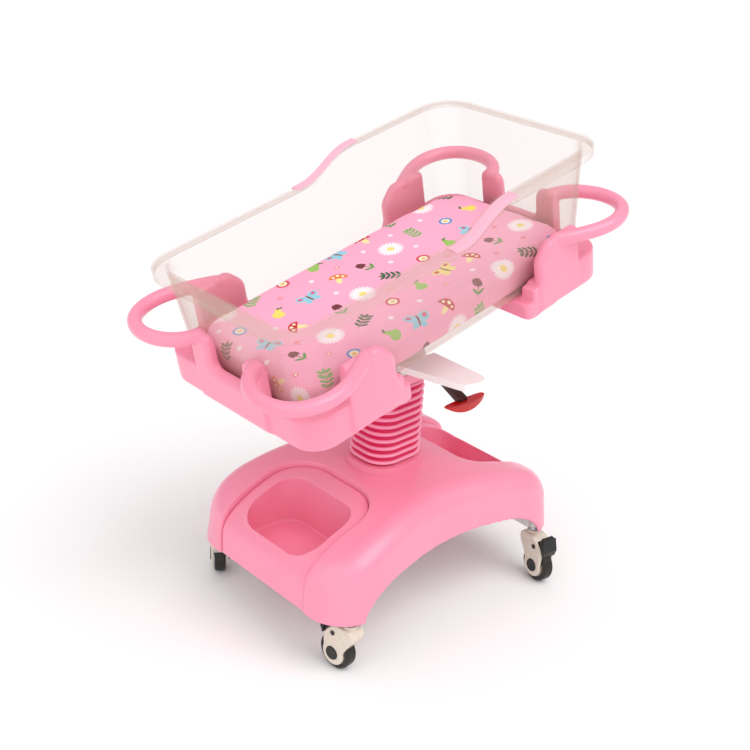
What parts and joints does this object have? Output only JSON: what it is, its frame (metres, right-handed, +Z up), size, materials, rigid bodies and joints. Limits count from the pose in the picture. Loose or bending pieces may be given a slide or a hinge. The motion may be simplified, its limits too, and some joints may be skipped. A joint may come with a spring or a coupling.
{
  "type": "hospital bassinet",
  "caption": "Newborn bassinet: clear tub with mattress in end cradles with loop handles, tilting on a lifting column over a wheeled base.",
  "frame": {"origin": "on the floor, at the middle of the overall length and width, with the cot tilted head-up as stored", "axes": "+X towards the head end (the higher rim), +Y across to the side without the release lever, +Z up"},
  "size_m": [0.886, 0.5362, 0.9509],
  "materials": {
    "clear_shell": "clear polished polycarbonate",
    "rim_trim": "soft satin trim",
    "mattress_cover": "soft printed cover",
    "pink_moulding": "satin moulded plastic",
    "bellows_rubber": "satin",
    "steel_frame": "powder coated",
    "bright_steel": "zinc plated",
    "bush_plastic": "self-lubricating plastic",
    "palm_plate": "smooth",
    "lever_red": "glossy",
    "lever_arm": "satin",
    "caster_ivory": "satin",
    "caster_black": "satin",
    "tyre": "smooth",
    "hub": "satin"
  },
  "bodies": {
    "base": {"base_cover": "pink_moulding", "head_tray": "pink_moulding", "foot_tray": "pink_moulding", "base_frame": "steel_frame", "cover_screws": "bright_steel", "column_outer_tube": "steel_frame", "column_bolts": "bright_steel", "column_guide_bush": "bush_plastic", "gas_spring_cylinder": "steel_frame", "bellows_collar": "pink_moulding", "bellows": "bellows_rubber"},
    "column": {"column_inner_tube": "bright_steel", "gas_spring_rod": "bright_steel", "bellows_cap": "pink_moulding", "column_head": "steel_frame", "tilt_bushes": "bush_plastic", "grip_plate": "palm_plate", "lever_pin": "bright_steel"},
    "lever": {"lever_stem": "lever_arm", "lever_paddle": "lever_red"},
    "carriage": {"cot_frame": "steel_frame", "tilt_pin": "bright_steel", "cradle_screws": "bright_steel", "head_cradle": "pink_moulding", "foot_cradle": "pink_moulding", "head_far_handle": "pink_moulding", "head_near_handle": "pink_moulding", "foot_far_handle": "pink_moulding", "foot_near_handle": "pink_moulding"},
    "tub": {"tub": "clear_shell", "rim_trim_near": "rim_trim", "rim_trim_far": "rim_trim"},
    "mattress": {"mattress": "mattress_cover"},
    "foot_near_caster": {"foot_near_caster_fork": "caster_ivory", "foot_near_caster_stem": "bright_steel", "foot_near_caster_axle": "caster_black"},
    "foot_near_wheel": {"foot_near_caster_tyre": "tyre", "foot_near_caster_hub": "hub"},
    "foot_near_pedal": {"foot_near_caster_brake_pedal": "caster_black"},
    "foot_far_caster": {"foot_far_caster_fork": "caster_ivory", "foot_far_caster_stem": "bright_steel", "foot_far_caster_axle": "caster_black"},
    "foot_far_wheel": {"foot_far_caster_tyre": "tyre", "foot_far_caster_hub": "hub"},
    "foot_far_pedal": {"foot_far_caster_brake_pedal": "caster_black"},
    "head_near_caster": {"head_near_caster_fork": "caster_ivory", "head_near_caster_stem": "bright_steel", "head_near_caster_axle": "caster_black"},
    "head_near_wheel": {"head_near_caster_tyre": "tyre", "head_near_caster_hub": "hub"},
    "head_near_pedal": {"head_near_caster_brake_pedal": "caster_black"},
    "head_far_caster": {"head_far_caster_fork": "caster_ivory", "head_far_caster_stem": "bright_steel", "head_far_caster_axle": "caster_black"},
    "head_far_wheel": {"head_far_caster_tyre": "tyre", "head_far_caster_hub": "hub"},
    "head_far_pedal": {"head_far_caster_brake_pedal": "caster_black"}
  },
  "joints": [
    {"name": "column_lift", "type": "slide", "parent": "base", "child": "column", "axis": [0, 0, 1], "range_m": [-0.05, 0.12], "deforming": ["bellows"]},
    {"name": "cot_tilt", "type": "hinge", "parent": "column", "child": "carriage", "pos_m": [0.03037, 0, 0.59], "axis": [0, 1, 0], "range_deg": [-2, 28]},
    {"name": "lever_squeeze", "type": "hinge", "parent": "column", "child": "lever", "pos_m": [0.03837, -0.12929, 0.51624], "axis": [-1, 0, 0], "range_deg": [0, 12], "stiffness_Nm_per_rad": 1.5, "springref_deg": -5.73},
    {"name": "tub_lift_out", "type": "slide", "parent": "carriage", "child": "tub", "axis": [-0.225, 0, 0.9744], "range_m": [0, 0.3]},
    {"name": "mattress_lift_out", "type": "slide", "parent": "tub", "child": "mattress", "axis": [-0.225, 0, 0.9744], "range_m": [0, 0.3]},
    {"name": "foot_near_swivel", "type": "hinge", "parent": "base", "child": "foot_near_caster", "pos_m": [-0.23563, -0.203, 0.1], "axis": [0, 0, 1], "continuous": true},
    {"name": "foot_near_roll", "type": "hinge", "parent": "foot_near_caster", "child": "foot_near_wheel", "pos_m": [-0.23799, -0.1761, 0.0375], "axis": [-0.9962, -0.0872, 0], "continuous": true},
    {"name": "foot_near_brake", "type": "hinge", "parent": "foot_near_caster", "child": "foot_near_pedal", "pos_m": [-0.23799, -0.1761, 0.0845], "axis": [-0.9962, -0.0872, 0], "range_deg": [0, 8]},
    {"name": "foot_far_swivel", "type": "hinge", "parent": "base", "child": "foot_far_caster", "pos_m": [-0.23563, 0.203, 0.1], "axis": [0, 0, 1], "continuous": true},
    {"name": "foot_far_roll", "type": "hinge", "parent": "foot_far_caster", "child": "foot_far_wheel", "pos_m": [-0.21938, 0.22456, 0.0375], "axis": [-0.7986, 0.6018, 0], "continuous": true},
    {"name": "foot_far_brake", "type": "hinge", "parent": "foot_far_caster", "child": "foot_far_pedal", "pos_m": [-0.21938, 0.22456, 0.0845], "axis": [-0.7986, 0.6018, 0], "range_deg": [0, 8]},
    {"name": "head_near_swivel", "type": "hinge", "parent": "base", "child": "head_near_caster", "pos_m": [0.29637, -0.203, 0.1], "axis": [0, 0, 1], "continuous": true},
    {"name": "head_near_roll", "type": "hinge", "parent": "head_near_caster", "child": "head_near_wheel", "pos_m": [0.29122, -0.2295, 0.0375], "axis": [0.9816, -0.1908, 0], "continuous": true},
    {"name": "head_near_brake", "type": "hinge", "parent": "head_near_caster", "child": "head_near_pedal", "pos_m": [0.29122, -0.2295, 0.0845], "axis": [0.9816, -0.1908, 0], "range_deg": [0, 8]},
    {"name": "head_far_swivel", "type": "hinge", "parent": "base", "child": "head_far_caster", "pos_m": [0.29637, 0.203, 0.1], "axis": [0, 0, 1], "continuous": true},
    {"name": "head_far_roll", "type": "hinge", "parent": "head_far_caster", "child": "head_far_wheel", "pos_m": [0.29122, 0.2295, 0.0375], "axis": [-0.9816, -0.1908, 0], "continuous": true},
    {"name": "head_far_brake", "type": "hinge", "parent": "head_far_caster", "child": "head_far_pedal", "pos_m": [0.29122, 0.2295, 0.0845], "axis": [-0.9816, -0.1908, 0], "range_deg": [0, 8]}
  ]
}
